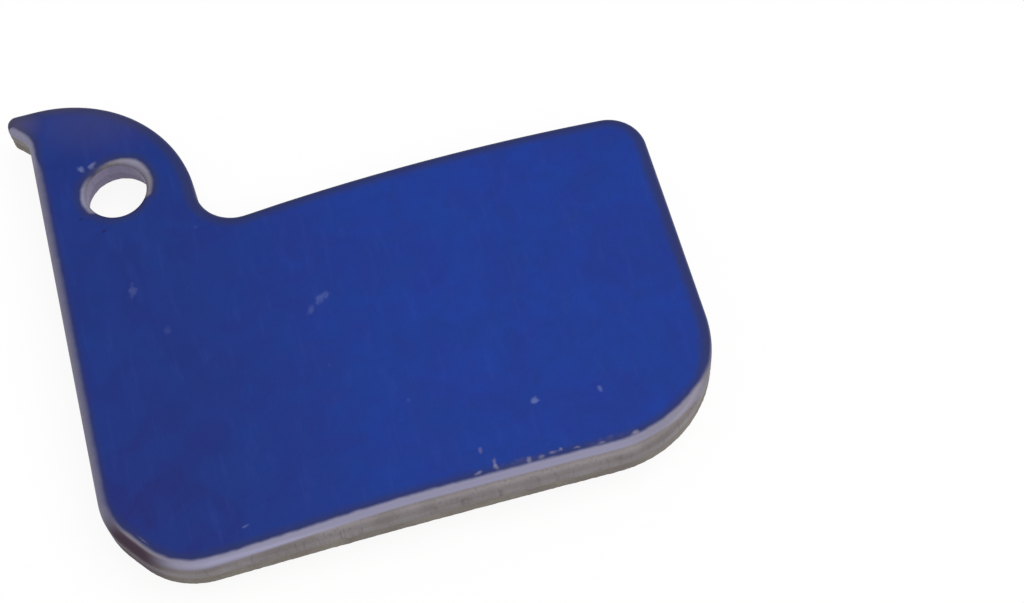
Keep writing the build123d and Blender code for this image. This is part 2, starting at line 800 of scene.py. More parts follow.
class Finish:
    """Material that is built from shader nodes, on a Principled shader of its own."""

    name = "finish"

    def made(self) -> bpy.types.Material:
        """Make the material.

        Returns:
            The material, with its nodes in place.
        """
        material = bpy.data.materials.new(self.name)
        material.use_nodes = True
        nodes = Nodes(material.node_tree)
        shader = material.node_tree.nodes["Principled BSDF"]
        self.dress(nodes, shader, nodes.place_in_mm())
        return material

    def dress(self, nodes: Nodes, shader: bpy.types.Node, place: Socket) -> None:
        """Feed the shader. Each finish does this in its own way."""
        raise NotImplementedError

    @staticmethod
    def masked(nodes: Nodes, place: Socket, marks: Sequence[Mark], fray: Feed = SMOOTH) -> Socket:
        """Make the mask of all the marks of one sort.

        Args:
            nodes: the material's nodes.
            place: place on the piece.
            marks: the marks.
            fray: noise that frays their edges.

        Returns:
            The mask, as strong at each mark as the mark is.
        """
        mask: Feed = 0.0
        for mark in marks:
            spot = nodes.use(
                blot(), Place=place, Centre=(mark.x, mark.y, 0.0), Turn=math.radians(mark.turn),
                Length=mark.length, Width=mark.width, Softness=mark.softness, Fray=fray,
            )
            strength = nodes.maths("MULTIPLY", spot.outputs["Mask"], mark.strength)
            mask = nodes.maths("MAXIMUM", mask, strength)
        return mask

    @staticmethod
    def emboss(nodes: Nodes, shader: bpy.types.Node, height: Feed, depth: float) -> None:
        """Raise the surface in the shader.

        Args:
            nodes: the material's nodes.
            shader: the material's shader.
            height: relief from 0 to 1.
            depth: what a relief of 1 is worth.
        """
        bump = nodes.add("Bump")
        bump.inputs["Strength"].default_value = 1.0
        bump.inputs["Distance"].default_value = depth * MM
        nodes.give(bump.inputs["Height"], height)
        nodes.give(shader.inputs["Normal"], bump.outputs[0])


BROWN_STAIN = Mark(-14.3, -7.2, 5.6, 3.4, -53, 1.0, 0.7)
BROWN = srgb(70, 56, 69)


def browned(nodes: Nodes, place: Socket, steel: Socket, amount: Feed = 1.0) -> Socket:
    """Stain bare steel brown, by an amount, at the cut corner under the hook."""
    stain = Finish.masked(nodes, place, (BROWN_STAIN,))
    return nodes.laid(steel, BROWN, stain, amount)


@cache
def bare_steel() -> Tree:
    """Build the group of bare steel: grey with dull patches and drawn lines, brighter where rubbed and
    under a painted highlight.

    Returns:
        The group.
    """
    clean, dull_clouds = srgb(128, 122, 124), Clouds(srgb(114, 107, 108), size=2.4, amount=0.8)
    line_colour, line_starts, line_full = srgb(106, 100, 101), 0.5, 0.8
    # Brighter lavender steel where rubbed, which also serves as a painted highlight where an edge
    # catches the light.
    bright = srgb(141, 139, 163)
    line_roughness: Span = (0.5, 0.7)
    outputs = {"Color": Kind.COLOUR, "Roughness": Kind.VALUE, "Height": Kind.VALUE}
    effect = Effect("Bare steel", {"Place": Kind.VECTOR, "Rubbed": Kind.VALUE}, outputs)
    nodes, place, rubbed = effect.nodes, effect.given["Place"], effect.given["Rubbed"]
    lines = nodes.use(streaks(), Place=place, Size=0.14, Stretch=(1.0, 1.0, 14.0)).outputs["Mask"]
    patchy = clouded(nodes, place, clean, dull_clouds)
    lined = nodes.mix(nodes.ease(lines, line_starts, line_full), patchy, line_colour)
    return effect.put_out(
        Color=nodes.mix(rubbed, lined, bright),
        Roughness=nodes.between(lines, *line_roughness),
        Height=lines,
    )


@dataclass(frozen=True)
class BluePaint(Finish):
    """Satin blue paint on the back, rubbed off along the lower edge and wrapped over the upper one, with
    painted shade in its colour and a painted highlight on the bare steel.

    Attributes:
        shade_x: x at which the painted shade that darkens the blue towards the left begins, and at which
            it is darkest.
        line_levels: noise at which fine lines begin, and at which they are full.
        line_amount: how strong the lines are.
        dust_amount: how strong the specks of dust are.
        margin: width of the dark band along the edge, painted shade where the edge turns away from the
            light.
        margin_start: inset at which the band starts where the paint is wrapped over the edge.
        margin_amount: how dark that painted shade is.
        rubbed_width: width of the bright strip of bare steel along the paint's end, whose brightness is
            partly a painted highlight.
        strip_blur: how softly that strip ends.
        stain_blur: how softly the brown stain ends at the edge of the flat back.
        film: thickness of the paint.
        film_low: share of that thickness in the hollows of the paint's grain.
        blurs: how softly the paint ends, in general and below the hook.
        below_hook_x: x at which the second of these begins, and at which it is full.
        below_hook_y: the same for y.
        paint_roughness: on the hollows and on the tops of the paint's grain.
        steel_roughness: where the steel is bare.
        steel_metallic: the same.
        gloss: strength of the paint's mirror light.
    """

    shade_x: Span = (3.0, -11.0)
    line_levels: Span = (0.52, 0.75)
    line_amount: float = 0.10
    dust_amount: float = 0.08
    margin: float = 0.6
    margin_start: float = -0.15
    margin_amount: float = 0.85
    rubbed_width: float = 0.42
    strip_blur: float = 0.06
    stain_blur: float = 0.08
    film: float = 0.03
    film_low: float = 0.6
    blurs: Span = (0.12, 0.35)
    below_hook_x: Span = (-14.2, -15.0)
    below_hook_y: Span = (15.4, 14.2)
    paint_roughness: Span = (0.46, 0.62)
    steel_roughness: float = 0.6
    steel_metallic: float = 0.4
    gloss: float = 0.16
    name: str = "blue_paint"

    blue = srgb(18, 53, 143)
    # Painted shade: the blue is darker towards the left, as if lit from the right.
    shaded_blue = srgb(20, 43, 115)
    # Colour of the painted shade in the lower-left corner.
    violet = srgb(28, 36, 106)
    clouds = (
        Clouds(srgb(28, 40, 120), 3.4, 0.34),
        Clouds(srgb(15, 54, 132), 2.2, 0.34, (40.0, 17.0, 0.0)),
        Clouds(srgb(27, 42, 116), 0.9, 0.22, (8.0, 52.0, 0.0)),
    )
    line_colour = srgb(50, 72, 156)
    dust_colour = srgb(110, 122, 176)
    thin_colour = srgb(96, 98, 146)
    scuff_colour = srgb(150, 160, 205)
    spot_colour = srgb(16, 22, 62)
    grey_colour = srgb(74, 70, 104)
    # Painted shade along the edge, where it turns away from the light: dark blue, and grey on the fin.
    edge_shade_colour = srgb(40, 46, 88)
    grey_edge_shade_colour = srgb(68, 66, 86)

    scuffs = (
        Mark(-12.87, 14.00, 0.55, 0.40, -52, 0.28, 0.9),
        Mark(-12.26, 14.05, 0.95, 0.40, 52, 0.48, 1.0),
        Mark(-2.55, 3.24, 1.30, 0.60, 18, 0.17, 1.0),
        Mark(-3.22, 2.79, 0.80, 0.45, 60, 0.10, 1.0),
        Mark(5.98, -5.13, 0.55, 0.50, 0, 0.26, 0.9),
        Mark(9.18, -5.41, 0.30, 0.50, 10, 0.18, 0.9),
        Mark(-11.58, 6.22, 1.00, 0.55, 70, 0.10, 1.0),
        Mark(-10.27, 3.61, 0.90, 0.50, 70, 0.06, 1.0),
        Mark(-8.69, -7.55, 0.60, 0.16, 10, 0.16, 0.9),
    )
    chips = (
        Mark(2.47, -8.02, 0.55, 0.22, 12, 0.50, 1.0),
        Mark(3.36, -7.82, 0.28, 0.70, 8, 0.60, 1.0),
        Mark(2.86, -6.88, 0.24, 0.44, 0, 0.22, 1.0),
        Mark(4.96, -8.00, 0.32, 0.42, 0, 0.55, 1.0),
        Mark(5.55, -8.02, 0.44, 0.28, 15, 0.45, 1.0),
        Mark(6.10, -7.96, 0.48, 0.24, 8, 0.40, 1.0),
        Mark(6.55, -7.94, 0.30, 0.30, 0, 0.70, 1.0),
        Mark(7.31, -8.02, 0.44, 0.20, 0, 0.40, 1.0),
        Mark(8.48, -8.12, 0.64, 0.20, 4, 0.35, 1.0),
        Mark(10.14, -8.08, 0.74, 0.26, 10, 0.70, 1.0),
        Mark(-13.42, -6.95, 0.90, 0.12, -54, 0.35, 0.8),
    )
    thin_paint = (
        Mark(4.60, -8.10, 5.0, 0.60, 1, 0.40, 1.0),
        Mark(8.60, -8.15, 5.2, 0.60, 3, 0.45, 1.0),
    )
    dark_spots = (
        Mark(-13.35, 11.12, 0.26, 0.22, 0, 0.7, 0.8),
        Mark(-12.34, 10.09, 0.30, 0.22, 20, 0.6, 0.8),
        Mark(-7.60, 9.30, 0.60, 0.40, 40, 0.4, 1.0),
    )
    greyed = (
        Mark(-11.4, 17.0, 11.0, 6.5, -8, 0.30, 1.0),
        Mark(-12.0, 18.1, 9.0, 1.8, -3, 0.60, 0.9),
        Mark(-15.8, 17.8, 4.6, 3.4, -20, 0.75, 1.0),
    )
    # Painted shade: a large soft patch that darkens the lower-left corner.
    shaded_corner = (Mark(-14.5, -6.0, 16.0, 18.0, 0, 0.9, 1.0),)

    def paint_colour(self, nodes: Nodes, place: Socket, fray: Socket) -> Socket:
        """Mix the colour of the paint: blue with violet and teal clouds, scuffs and spots, and painted
        shade that darkens it towards the left and in the lower-left corner.

        Args:
            nodes: the material's nodes.
            place: place on the piece.
            fray: noise that frays the marks.

        Returns:
            The colour.
        """
        # Painted shade: the blue darkens towards the left.
        falloff = nodes.ease(nodes.part(place, "X"), *self.shade_x)
        colour = nodes.mix(falloff, self.blue, self.shaded_blue)
        colour = nodes.mix(self.masked(nodes, place, self.shaded_corner), colour, self.violet)
        colour = clouded(nodes, place, colour, *self.clouds)
        lines = nodes.use(streaks(), Place=place, Size=0.4, Stretch=(1.0, 5.0, 1.0)).outputs["Mask"]
        lines = nodes.ease(lines, *self.line_levels)
        colour = nodes.laid(colour, self.line_colour, lines, self.line_amount)
        dust = nodes.use(specks(), Place=place, Spacing=1.6, Radius=0.16, Share=0.2).outputs["Mask"]
        colour = nodes.laid(colour, self.dust_colour, dust, self.dust_amount)
        for marks, mark_colour, mark_fray in (
            (self.thin_paint, self.thin_colour, fray),
            (self.scuffs, self.scuff_colour, fray),
            (self.dark_spots, self.spot_colour, fray),
            (self.greyed, self.grey_colour, SMOOTH),
        ):
            colour = nodes.mix(self.masked(nodes, place, marks, mark_fray), colour, mark_colour)
        return colour

    def coverage(
        self, nodes: Nodes, place: Socket, inset: Socket, paint_end: Socket, fray: Socket
    ) -> Socket:
        """Find where the paint is left on the steel.

        Args:
            nodes: the material's nodes.
            place: place on the piece.
            inset: how far inside the edge the place lies.
            paint_end: the inset at which the paint ends there.
            fray: noise that frays the chips.

        Returns:
            1 on the paint and 0 on bare steel.
        """
        below_hook = nodes.maths(
            "MULTIPLY",
            nodes.ease(nodes.part(place, "X"), *self.below_hook_x),
            nodes.ease(nodes.part(place, "Y"), *self.below_hook_y),
        )
        painted = nodes.use(
            border(), Place=place, Size=0.5, Ragged=0.12,
            Value=inset, Level=paint_end, Blur=nodes.between(below_hook, *self.blurs),
        )
        unchipped = nodes.maths("SUBTRACT", 1.0, self.masked(nodes, place, self.chips, fray))
        return nodes.maths("MULTIPLY", painted.outputs["Mask"], unchipped)

    def dress(self, nodes: Nodes, shader: bpy.types.Node, place: Socket) -> None:
        """Lay the paint on the steel, with the painted shade of its edge, its chips, its ragged end and
        the painted highlight on the bare steel.
        """
        inset, paint_end = nodes.stored(Layer.INSET), nodes.stored(Layer.PAINT_END)
        fray = nodes.clouds(nodes.shrunk(place, 0.3))
        painted = self.coverage(nodes, place, inset, paint_end, fray)
        # Painted shade: a dark band along the edge, where it turns away from the light.
        band_start = nodes.maths("MAXIMUM", paint_end, self.margin_start)
        from_edge = nodes.maths("SUBTRACT", inset, band_start)
        greyed = self.masked(nodes, place, self.greyed)
        shade_band_colour = nodes.mix(greyed, self.edge_shade_colour, self.grey_edge_shade_colour)
        band = nodes.ease(from_edge, self.margin, 0.0)
        colour = nodes.laid(self.paint_colour(nodes, place, fray), shade_band_colour, band, self.margin_amount)
        bare = nodes.maths("SUBTRACT", paint_end, inset)
        strip_end, strip_full = self.rubbed_width + self.strip_blur, self.rubbed_width - self.strip_blur
        strip = nodes.ease(bare, strip_end, strip_full)
        # Painted highlight: the bare strip is brighter by the way its edge faces the light.
        shine = nodes.maths("MULTIPLY", strip, nodes.stored(Layer.SHINE))
        steel = nodes.use(bare_steel(), Place=place, Rubbed=shine)
        on_roll = nodes.ease(inset, self.stain_blur, -self.stain_blur)
        stained = browned(nodes, place, steel.outputs["Color"], on_roll)
        nodes.give(shader.inputs["Base Color"], nodes.mix(painted, stained, colour))
        nodes.give(shader.inputs["Metallic"], nodes.between(painted, self.steel_metallic, 0.0))
        peel = nodes.use(grain(), Place=place, Size=0.22).outputs["Height"]
        paint_roughness = nodes.between(peel, *self.paint_roughness)
        rough = nodes.between(painted, self.steel_roughness, paint_roughness)
        nodes.give(shader.inputs["Roughness"], rough)
        shader.inputs["Specular IOR Level"].default_value = self.gloss
        film = nodes.maths("MULTIPLY", painted, nodes.between(peel, self.film_low, 1.0))
        self.emboss(nodes, shader, film, self.film)


@dataclass(frozen=True)
class BlankedEdge(Finish):
    """Sheared wall of the plate: dull burnished steel above a rough, browned break.

    Attributes:
        burnish_end: height at which the burnished part ends and the break begins.
        hole: middle of the pin hole, whose wall gets a lighter lavender, a painted reflection of the
            pale floor.
        hole_reach: width round that middle over which it is.
        hole_amount: how strong that painted reflection is.
        hole_blur: how softly the painted reflection ends.
        pit_levels: noise at which the dark pits of the break begin, and at which they are full.
        pit_amount: how dark they are.
        metallic: on the break and on the burnished part.
        break_roughness: on the break.
        relief: depth of the lines and pits.
    """

    burnish_end: float
    hole: tuple[float, float]
    hole_reach: float = 4.2
    hole_amount: float = 0.7
    hole_blur: float = 0.1
    pit_levels: Span = (0.5, 0.75)
    pit_amount: float = 0.5
    metallic: Span = (0.25, 0.45)
    break_roughness: float = 0.72
    relief: float = 0.02
    name: str = "blanked_edge"

    break_colour = srgb(122, 116, 108)
    brown_clouds = Clouds(srgb(108, 99, 94), size=1.8, amount=0.9)
    pit_colour = srgb(86, 78, 74)
    # Painted reflection: pale lavender on the hole's wall, as the floor reflects in it.
    hole_reflection_colour = srgb(146, 139, 176)

    def dress(self, nodes: Nodes, shader: bpy.types.Node, place: Socket) -> None:
        """Set the burnished steel off against the break by a ragged line."""
        steel = nodes.use(bare_steel(), Place=place, Rubbed=0.0)
        burnished = nodes.use(
            border(), Place=place, Size=0.7, Ragged=0.5,
            Value=nodes.part(place, "Z"), Level=self.burnish_end, Blur=0.05,
        ).outputs["Mask"]
        pits = nodes.use(grain(), Place=place, Size=0.09).outputs["Height"]
        dark_pits = nodes.ease(pits, *self.pit_levels)
        clouds = clouded(nodes, place, self.break_colour, self.brown_clouds)
        broken = nodes.laid(clouds, self.pit_colour, dark_pits, self.pit_amount)
        wall = nodes.mix(burnished, broken, steel.outputs["Color"])
        # Painted reflection on the hole's wall, round its middle.
        clean = Mark(*self.hole, self.hole_reach, self.hole_reach, 0, self.hole_amount, self.hole_blur)
        wall = nodes.mix(self.masked(nodes, place, (clean,)), wall, self.hole_reflection_colour)
        nodes.give(shader.inputs["Base Color"], browned(nodes, place, wall))
        nodes.give(shader.inputs["Metallic"], nodes.between(burnished, *self.metallic))
        rough = nodes.between(burnished, self.break_roughness, steel.outputs["Roughness"])
        nodes.give(shader.inputs["Roughness"], rough)
        height = nodes.between(burnished, pits, steel.outputs["Height"])
        self.emboss(nodes, shader, height, self.relief)


@dataclass(frozen=True)
class CopperPlating(Finish):
    """Browned copper plating on the front of the plate, with drawn lines and dark spots.

    Attributes:
        line_levels: noise at which the drawn lines begin, and at which they are full.
        line_amount: how bright they are.
        spot_amount: how dark the spots are.
        metallic: all over.
        roughness: between the lines and on them.
        relief: depth of the lines.
    """

    line_levels: Span = (0.5, 0.75)
    line_amount: float = 0.2
    spot_amount: float = 0.6
    metallic: float = 0.8
    roughness: Span = (0.36, 0.62)
    relief: float = 0.012
    name: str = "copper_plating"

    copper = srgb(150, 92, 82)
    clouds = (
        Clouds(srgb(122, 78, 82), 3.2, 1.0),
        Clouds(srgb(98, 64, 56), 1.6, 0.6, (21.0, 33.0, 0.0)),
    )
    line_colour = srgb(176, 122, 108)
    spot_colour = srgb(74, 50, 46)

    def dress(self, nodes: Nodes, shader: bpy.types.Node, place: Socket) -> None:
        """Cloud the copper with mauve and brown, draw fine lines on it and spot it."""
        colour = clouded(nodes, place, self.copper, *self.clouds)
        lines = nodes.use(streaks(), Place=place, Size=0.14, Stretch=(1.0, 12.0, 1.0)).outputs["Mask"]
        bright_lines = nodes.ease(lines, *self.line_levels)
        colour = nodes.laid(colour, self.line_colour, bright_lines, self.line_amount)
        spots = nodes.use(specks(), Place=place, Spacing=0.9, Radius=0.18, Share=0.3).outputs["Mask"]
        colour = nodes.laid(colour, self.spot_colour, spots, self.spot_amount)
        nodes.give(shader.inputs["Base Color"], colour)
        shader.inputs["Metallic"].default_value = self.metallic
        nodes.give(shader.inputs["Roughness"], nodes.between(lines, *self.roughness))
        self.emboss(nodes, shader, lines, self.relief)


@dataclass(frozen=True)
class SinteredMetal(Finish):
    """Pressed and sintered metal powder: tan and rose grains, dark graphite and a few bright flecks.

    Attributes:
        wear_face: height up to which the rubbed friction face and its edge reach.
        grain_size: width of the grains.
        wander: how far their borders stray.
        wander_size: width of that straying.
        graphite_amount: how dark the graphite is.
        graphite_shift: how far the pattern of the graphite is moved from that of the flecks.
        pressed_and_shade_amount: how much darker the pressed sides are, partly their own colour and
            partly painted shade.
        fleck_metallic: of the bright flecks.
        roughness: in the hollows and on the tops of the powder.
        powder_share: relief of the powder against that of the grains.
        relief: depth of both.
    """

    wear_face: float
    grain_size: float = 0.26
    wander: float = 0.25
    wander_size: float = 0.3
    graphite_amount: float = 0.8
    graphite_shift: tuple[float, float, float] = (5.0, 9.0, 3.0)
    pressed_and_shade_amount: float = 0.6
    fleck_metallic: float = 0.8
    roughness: Span = (0.6, 0.9)
    powder_share: float = 0.5
    relief: float = 0.05
    name: str = "sintered_metal"

    grain_colours = (
        (0.00, srgb(70, 60, 56)),
        (0.16, srgb(118, 100, 90)),
        (0.40, srgb(158, 136, 122)),
        (0.66, srgb(172, 148, 130)),
        (0.86, srgb(178, 138, 118)),
        (1.00, srgb(206, 182, 160)),
    )
    clouds = (
        Clouds(srgb(172, 138, 128), 3.6, 0.42),
        Clouds(srgb(150, 134, 108), 2.8, 0.36, (13.0, 29.0, 0.0)),
    )
    fleck_colour = srgb(214, 170, 138)
    graphite_colour = srgb(58, 48, 44)
    # Darker sides: partly the pressed metal's own colour, partly painted shade.
    pressed_and_shaded_colour = srgb(74, 58, 50)

    def dress(self, nodes: Nodes, shader: bpy.types.Node, place: Socket) -> None:
        """Colour grain by grain, cloud the whole, and darken the unrubbed sides, partly as painted
        shade.
        """
        wander = nodes.add("TexNoise")
        nodes.give(wander.inputs["Vector"], nodes.shrunk(place, self.wander_size))
        wander.inputs["Scale"].default_value = 1.0
        warped = nodes.vector("ADD", place, nodes.scaled(wander.outputs["Color"], self.wander))
        cells = nodes.cells(nodes.shrunk(warped, self.grain_size))
        grains = nodes.ramp(nodes.part(cells.outputs["Color"], "X"), self.grain_colours)
        colour = clouded(nodes, place, grains, *self.clouds)
        flecks = nodes.use(specks(), Place=place, Spacing=0.8, Radius=0.15, Share=0.25).outputs["Mask"]
        colour = nodes.mix(flecks, colour, self.fleck_colour)
        moved = nodes.vector("ADD", place, self.graphite_shift)
        graphite = nodes.use(specks(), Place=moved, Spacing=0.6, Radius=0.2, Share=0.3).outputs["Mask"]
        colour = nodes.laid(colour, self.graphite_colour, graphite, self.graphite_amount)
        side = nodes.use(
            border(), Place=place, Size=0.4, Ragged=0.12,
            Value=nodes.part(place, "Z"), Level=self.wear_face, Blur=0.03,
        ).outputs["Mask"]
        # Darker pressed sides, partly painted shade.
        pressed = nodes.mix(self.pressed_and_shade_amount, colour, self.pressed_and_shaded_colour)
        nodes.give(shader.inputs["Base Color"], nodes.mix(side, colour, pressed))
        nodes.give(shader.inputs["Metallic"], nodes.maths("MULTIPLY", flecks, self.fleck_metallic))
        powder = nodes.use(grain(), Place=place, Size=0.1).outputs["Height"]
        nodes.give(shader.inputs["Roughness"], nodes.between(powder, *self.roughness))
        fine = nodes.maths("MULTIPLY", powder, self.powder_share)
        self.emboss(nodes, shader, nodes.maths("ADD", fine, cells.outputs["Distance"]), self.relief)


# Pieces


class PlateSlot(Enum):
    """Material slots of the backing plate."""

    BACK = 0
    WALL = 1
    FRONT = 2


@dataclass
class BackingPlate:
    """Blanked steel plate, painted on its back and copper plated on its front.

    A span below is the pair of values at which a look begins and at which it is full.

    Attributes:
        node: name of the solid that the piece stands for.
        step: longest run between points round the outline.
        roll_rings: rings on the rolled edge.
        wall_rings: rings down the sheared wall.
        back_spacing: distance between points on the painted back.
        front_spacing: distance between points on the plated front.
        sharp_angle: angle between two faces above which their edge stays sharp.
        burnish_share: share of the wall that is burnished before the steel breaks.
        break_depth: how far the break falls back behind the burnished part.
        break_wave: width of the waves in the line where the break begins.
        break_swing: height of those waves.
        break_step: height over which the wall falls back.
        break_grain: width of the bumps on the break.
        break_middle: share of the depth that the break has on average.
        line_depth: depth of the drawn lines on the burnished part.
        line_width: width of those lines.
        line_squeeze: how much the wall's height counts in its pattern, which draws the lines out.
        paint_ends: inset at which the paint ends, for headings of the edge from +X round to +X again.
        shines: how bright the bare steel is, for headings of the edge in the same way: rubbed, with a
            painted highlight where the edge faces the light.
        hole_paint_ends: the same as paint_ends, for the rim of the hole.
        hole_shines: the same as shines, for the rim of the hole.
        lower_gap: width that more is bare along the lower edge.
        lower_facing: span of facing down that makes an edge the lower one.
        lower_x: span of x for the lower gap.
        hook_paint_ends: inset at which the paint ends under the hook and over it.
        hook_y: span of y for these.
        hook_x: span of x for these.
        tip_x: span of x for the tip of the hook, which is painted.
        tip_facing: span of facing up from which the tip is.
        top_facing: span of facing up from which the rest of the hook is.
    """

    node: str = "backing_plate"
    step: float = 0.1
    roll_rings: int = 8
    wall_rings: int = 16
    back_spacing: float = 0.22
    front_spacing: float = 0.6
    sharp_angle: float = 40.0
    burnish_share: float = 0.38
    break_depth: float = 0.04
    break_wave: float = 0.9
    break_swing: float = 0.18
    break_step: float = 0.12
    break_grain: float = 0.22
    break_middle: float = 0.6
    line_depth: float = 0.006
    line_width: float = 0.14
    line_squeeze: float = 0.06
    paint_ends: Table = (
        (0, -0.40), (20, -0.6), (155, -0.6), (180, -0.12), (217, 0.14),
        (270, 0.12), (290, 0.06), (315, -0.12), (335, -0.35), (360, -0.40),
    )
    # Painted highlight: brighter bare steel where the edge faces the light.
    shines: Table = (
        (0, 0.2), (150, 0.3), (180, 0.8), (217, 0.4), (255, 0.9),
        (270, 1.0), (285, 0.8), (325, 0.4), (360, 0.2),
    )
    hole_paint_ends: Table = (
        (0, 0.10), (47, 0.16), (80, -0.06), (125, -0.25), (165, -0.05), (190, 0.0),
        (215, 0.0), (240, -0.6), (310, -0.6), (335, 0.06), (360, 0.10),
    )
    # Painted highlight on the rim of the hole, by heading.
    hole_shines: Table = (
        (0, 0.4), (47, 0.8), (80, 0.3), (125, 0.1), (165, 0.8), (190, 1.0), (240, 0.4), (360, 0.4),
    )
    lower_gap: float = 0.33
    lower_facing: Span = (0.3, 1.0)
    lower_x: Span = (-11.0, 0.0)
    hook_paint_ends: Span = (-0.15, -0.6)
    hook_y: Span = (14.4, 15.4)
    hook_x: Span = (-13.5, -14.8)
    tip_x: Span = (-15.1, -15.5)
    tip_facing: Span = (-0.3, 0.0)
    top_facing: Span = (0.1, 0.4)

    def __post_init__(self) -> None:
        """Read the plate's heights and outlines off the frame."""
        low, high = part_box(self.node)
        self.bottom, self.top = low.z / MM, high.z / MM
        back, hole = Outline.round_flat_face(self.node, self.top)
        front, torn_hole = Outline.round_flat_face(self.node, self.bottom)
        self.roll = high.x / MM - back.points[:, 0].max()
        self.front_break = high.x / MM - front.points[:, 0].max()
        bore = mount("pin_hole")
        bore_radius, bore_length = bore["dims"]["r_mm"], bore["dims"]["length_mm"]
        self.hole_middle = (bore["pos_m"][0] / MM, bore["pos_m"][1] / MM)
        self.hole_roll = math.sqrt(hole.area() / math.pi) - bore_radius
        self.tear_width = math.sqrt(torn_hole.area() / math.pi) - bore_radius
        self.tear_top = bore["pos_m"][2] / MM - bore_length / 2
        self.back, self.hole = back.finer(self.step), hole.finer(self.step)
        wall_top = self.top - self.roll
        self.burnish_end = wall_top - self.burnish_share * (wall_top - self.bottom)

    def wall_relief(self, outline: Outline, height: float) -> np.ndarray:
        """Find how far the sheared wall falls back at one height.

        Args:
            outline: outline of the wall.
            height: height on the wall.

        Returns:
            The depth at each point of the outline.
        """
        places = at_height(outline.points, height)
        drawn_out = places * (1.0, 1.0, self.line_squeeze)
        line = self.burnish_end + self.break_swing * roughness(drawn_out, self.break_wave)
        broken = eased(line - height, 0.0, self.break_step)
        ragged = uneven(places, self.break_grain, self.break_middle)
        lines = self.line_depth * uneven(drawn_out, self.line_width)
        return broken * self.break_depth * ragged + (1 - broken) * lines

    def outer_edge(self, skin: Skin) -> list[list[int]]:
        """Build the plate's outer edge, which is broken at the front.

        Args:
            skin: the mesh under construction.

        Returns:
            The rings of its points, from the painted back down to the front.
        """
        rings = self.rolled_rings(skin, self.back, self.roll, 1)
        wall = self.back.moved_out(self.roll)
        wall_top, wall_end = self.top - self.roll, self.bottom + self.front_break
        for height in np.linspace(wall_top, wall_end, self.wall_rings)[1:]:
            depth = self.wall_relief(wall, height)
            rings.append(skin.ring(self.back.moved_out(self.roll - depth), height))
        rings.append(skin.ring(self.back.moved_out(self.roll - self.front_break), self.bottom))
        return rings

    def hole_edge(self, skin: Skin) -> list[list[int]]:
        """Build the wall of the pin hole, which is torn wider towards the front.

        Args:
            skin: the mesh under construction.

        Returns:
            The rings of its points, from the painted back down to the front.
        """
        rings = self.rolled_rings(skin, self.hole, self.hole_roll, -1)
        wall = self.hole.moved_out(-self.hole_roll)
        for height in np.linspace(self.top - self.hole_roll, self.bottom, self.wall_rings)[1:]:
            torn = np.clip((self.tear_top - height) / (self.tear_top - self.bottom), 0, 1)
            depth = self.wall_relief(wall, height) + self.tear_width * torn
            rings.append(skin.ring(self.hole.moved_out(depth - self.hole_roll), height))
        return rings

    def rolled_rings(self, skin: Skin, outline: Outline, roll: float, outwards: int) -> list[list[int]]:
        """Build the rolled edge that blanking leaves round the back.

        Args:
            skin: the mesh under construction.
            outline: where the flat back ends.
            roll: radius of the rolled edge.
            outwards: 1 for the plate's outer edge and -1 for a hole.

        Returns:
            The rings of its points, from the painted back downwards.
        """
        rings = []
        for angle in np.linspace(0, math.pi / 2, self.roll_rings):
            shape = outline.moved_out(outwards * roll * math.sin(angle))
            rings.append(skin.ring(shape, self.top - roll * (1 - math.cos(angle))))
        return rings

    def edge_looks(self) -> tuple[np.ndarray, np.ndarray]:
        """Find how the paint ends at each point of the outer edge and of the hole's.

        Returns:
            The inset at which the paint ends, and how bright the bare steel is: rubbed, with a painted
            highlight.
        """
        x, y = self.back.points.T
        facing_up = self.back.outwards()[:, 1]
        ends = self.by_heading(self.back, self.paint_ends)
        lower = eased(-facing_up, *self.lower_facing) * eased(x, *self.lower_x)
        hook = eased(y, *self.hook_y) * eased(x, *self.hook_x)
        tip = eased(x, *self.tip_x) * eased(facing_up, *self.tip_facing)
        under, over = self.hook_paint_ends
        hook_ends = under + (over - under) * np.maximum(tip, eased(facing_up, *self.top_facing))
        ends = (ends + self.lower_gap * lower) * (1 - hook) + hook_ends * hook
        # Painted highlight on the bare steel, full on the hook.
        shines = self.by_heading(self.back, self.shines) * (1 - hook) + hook
        hole_ends = self.by_heading(self.hole, self.hole_paint_ends)
        hole_shines = self.by_heading(self.hole, self.hole_shines)
        return np.concatenate([ends, hole_ends]), np.concatenate([shines, hole_shines])

    @staticmethod
    def by_heading(outline: Outline, table: Table) -> np.ndarray:
        """Read a table of values by heading off at each point of an outline.

        Args:
            outline: outline whose outward directions are the headings.
            table: rows of a heading in degrees, counter-clockwise from +X, and its value.

        Returns:
            The value at each point.
        """
        out_x, out_y = outline.outwards().T
        return np.interp(np.degrees(np.arctan2(out_y, out_x)) % 360, *np.array(table).T)

    def store_layers(self, piece: bpy.types.Object) -> None:
        """Keep on the mesh how each point lies against the edge of the flat back, for the finishes.

        Args:
            piece: the plate's object.
        """
        points = np.concatenate([self.back.points, self.hole.points])
        outwards = np.concatenate([self.back.outwards(), -self.hole.outwards()])
        tree = KDTree(len(points))
        for index, point in enumerate(points):
            tree.insert((*point, 0.0), index)
        tree.balance()
        flat = np.array([vertex.co[:2] for vertex in piece.data.vertices]) / MM
        nearest = [tree.find((*point, 0.0))[1] for point in flat]
        insets = np.sum((points[nearest] - flat) * outwards[nearest], axis=1)
        ends, shines = self.edge_looks()
        layers = {Layer.INSET: insets, Layer.PAINT_END: ends[nearest], Layer.SHINE: shines[nearest]}
        for layer, values in layers.items():
            piece.data.attributes.new(layer.value, "FLOAT", "POINT").data.foreach_set("value", values)

